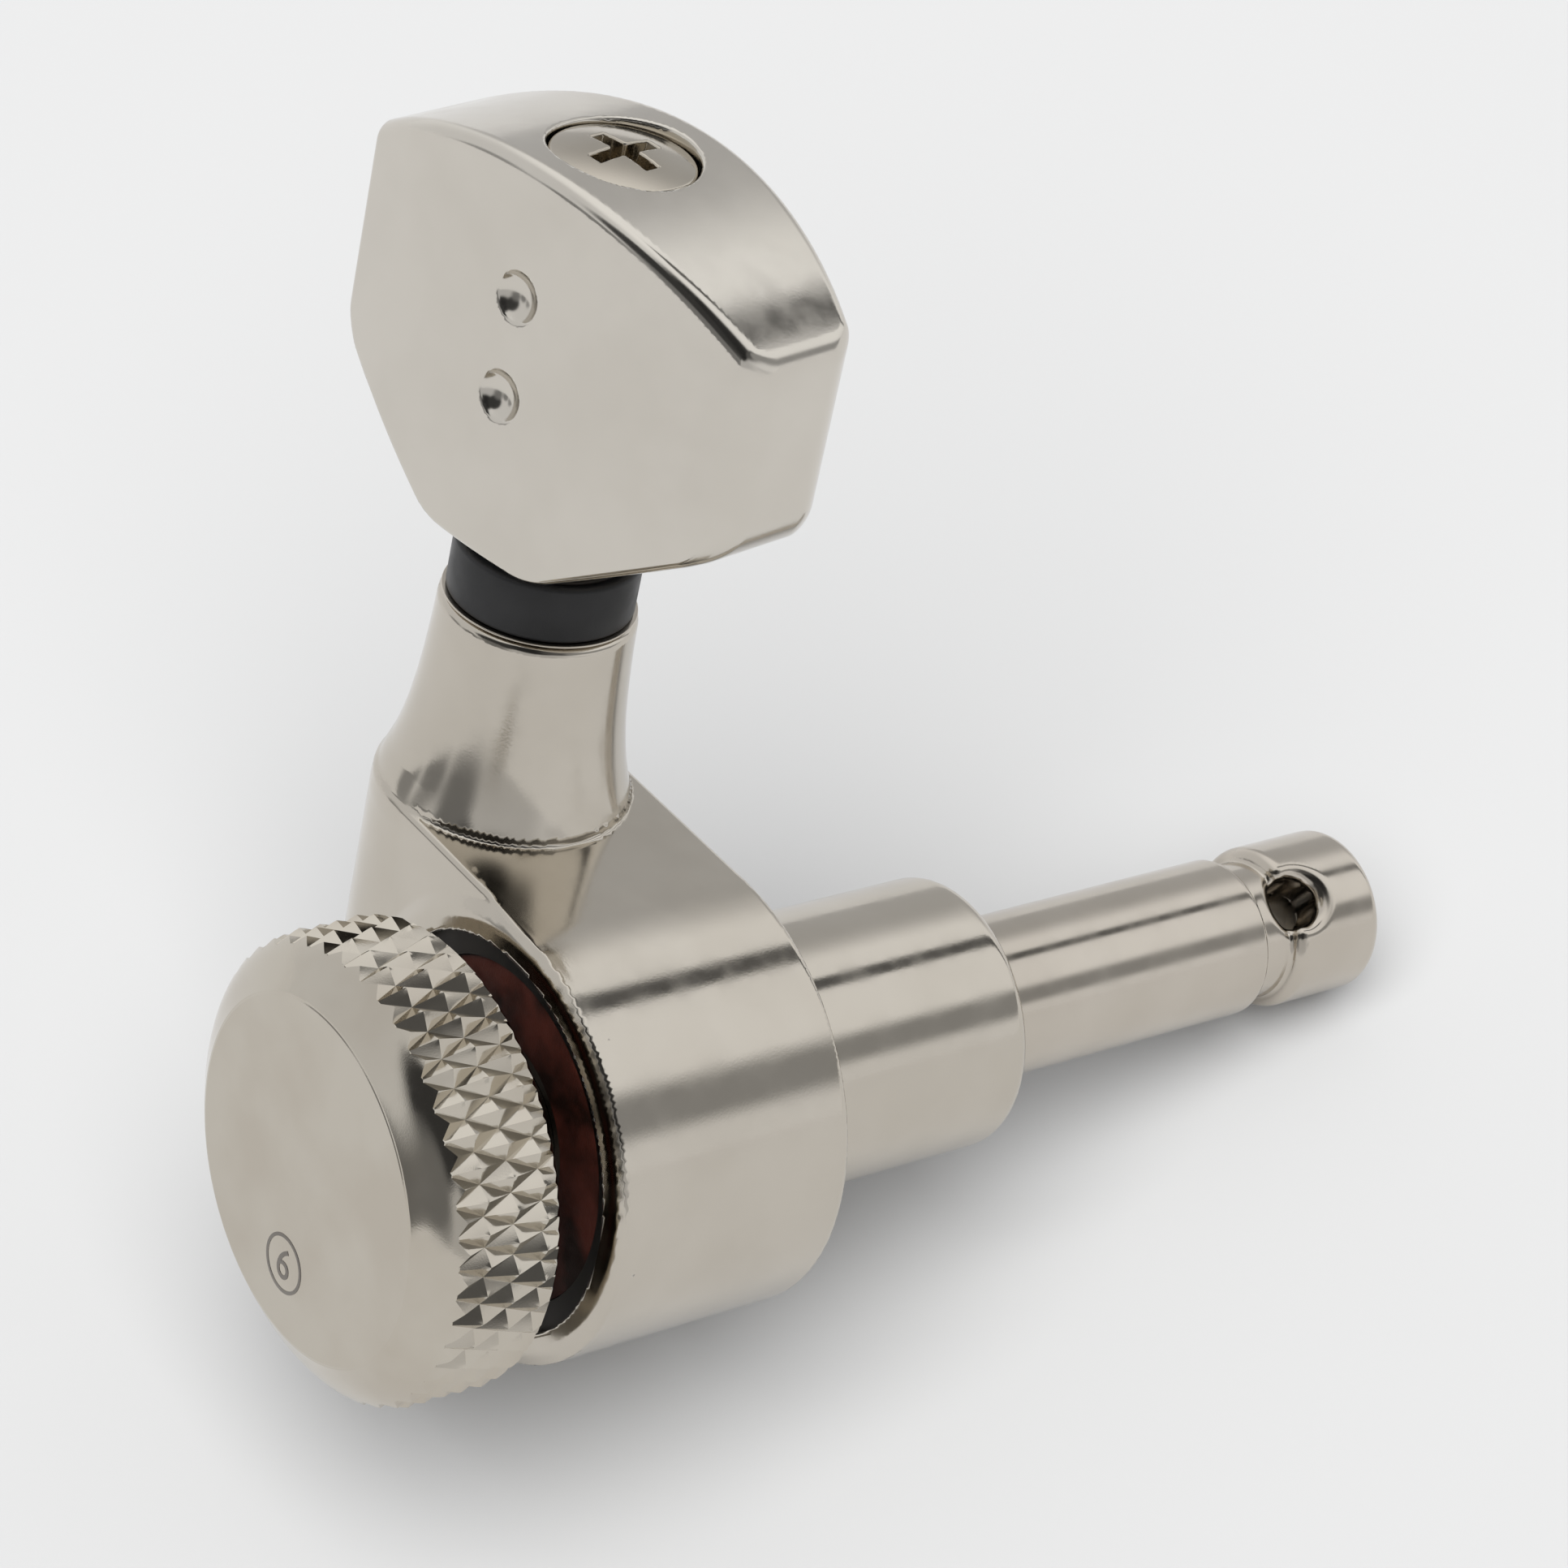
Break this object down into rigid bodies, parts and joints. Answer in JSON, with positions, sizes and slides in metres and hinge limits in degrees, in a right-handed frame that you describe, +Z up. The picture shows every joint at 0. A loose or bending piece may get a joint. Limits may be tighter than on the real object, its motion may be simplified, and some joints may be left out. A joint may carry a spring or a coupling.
{
  "type": "guitar tuning machine",
  "caption": "Sealed worm-geared tuning machine with a crowned button, a plain barrel and a hollow string post that a knurled thumb wheel locks.",
  "frame": {"origin": "where the string post's axis crosses the seat face that lies against the headstock", "axes": "+X along the string post to its tip, +Z up the worm shaft to the button, +Y from the post to the worm shaft"},
  "size_m": [0.0463, 0.0262, 0.0435],
  "materials": {
    "nickel": "warm polished nickel plating on cast zinc",
    "nickel_knurl": "polished nickel plating over a cut knurl",
    "nylon": "moulded, slight sheen",
    "brass": "machined",
    "bronze": "sintered, oily",
    "steel": "ground",
    "dark_steel": "blackened",
    "fibre": "vulcanised fibre",
    "rubber": "moulded"
  },
  "bodies": {
    "housing": {"housing": "nickel", "rear_plate": "dark_steel", "retaining_ring": "dark_steel", "fibre_washer": "fibre", "rear_post_bush": "bronze", "front_post_bush": "bronze", "neck_bush": "bronze", "end_plug": "nickel"},
    "shaft": {"worm_shaft": "steel", "worm_washer": "steel", "bright_washer": "nickel", "nylon_washer": "nylon", "wave_washer": "dark_steel", "button": "nickel", "button_screw": "nickel"},
    "post": {"string_post": "nickel", "worm_wheel": "brass", "wheel_clip": "steel", "thrust_washer": "steel"},
    "lock_pin": {"lock_pin": "steel"},
    "thumb_wheel": {"thumb_wheel": "nickel_knurl", "lock_screw": "steel", "stem_seal": "rubber"}
  },
  "joints": [
    {"name": "button_turn", "type": "hinge", "parent": "housing", "child": "shaft", "pos_m": [-0.00459, 0.00847, 0], "axis": [0, 0, 1], "continuous": true},
    {"name": "post_turn", "type": "hinge", "parent": "housing", "child": "post", "pos_m": [0, 0, 0], "axis": [1, 0, 0], "continuous": true},
    {"name": "lock_slide", "type": "slide", "parent": "post", "child": "lock_pin", "axis": [1, 0, 0], "range_m": [0, 0.0016]},
    {"name": "lock_turn", "type": "hinge", "parent": "lock_pin", "child": "thumb_wheel", "pos_m": [0, 0, 0], "axis": [1, 0, 0], "range_deg": [0, 720]}
  ],
  "couplings": [
    {"joint": "post_turn", "follows": "button_turn", "ratio": -0.055556},
    {"joint": "lock_turn", "follows": "lock_slide", "rad_per_m": 7854}
  ]
}
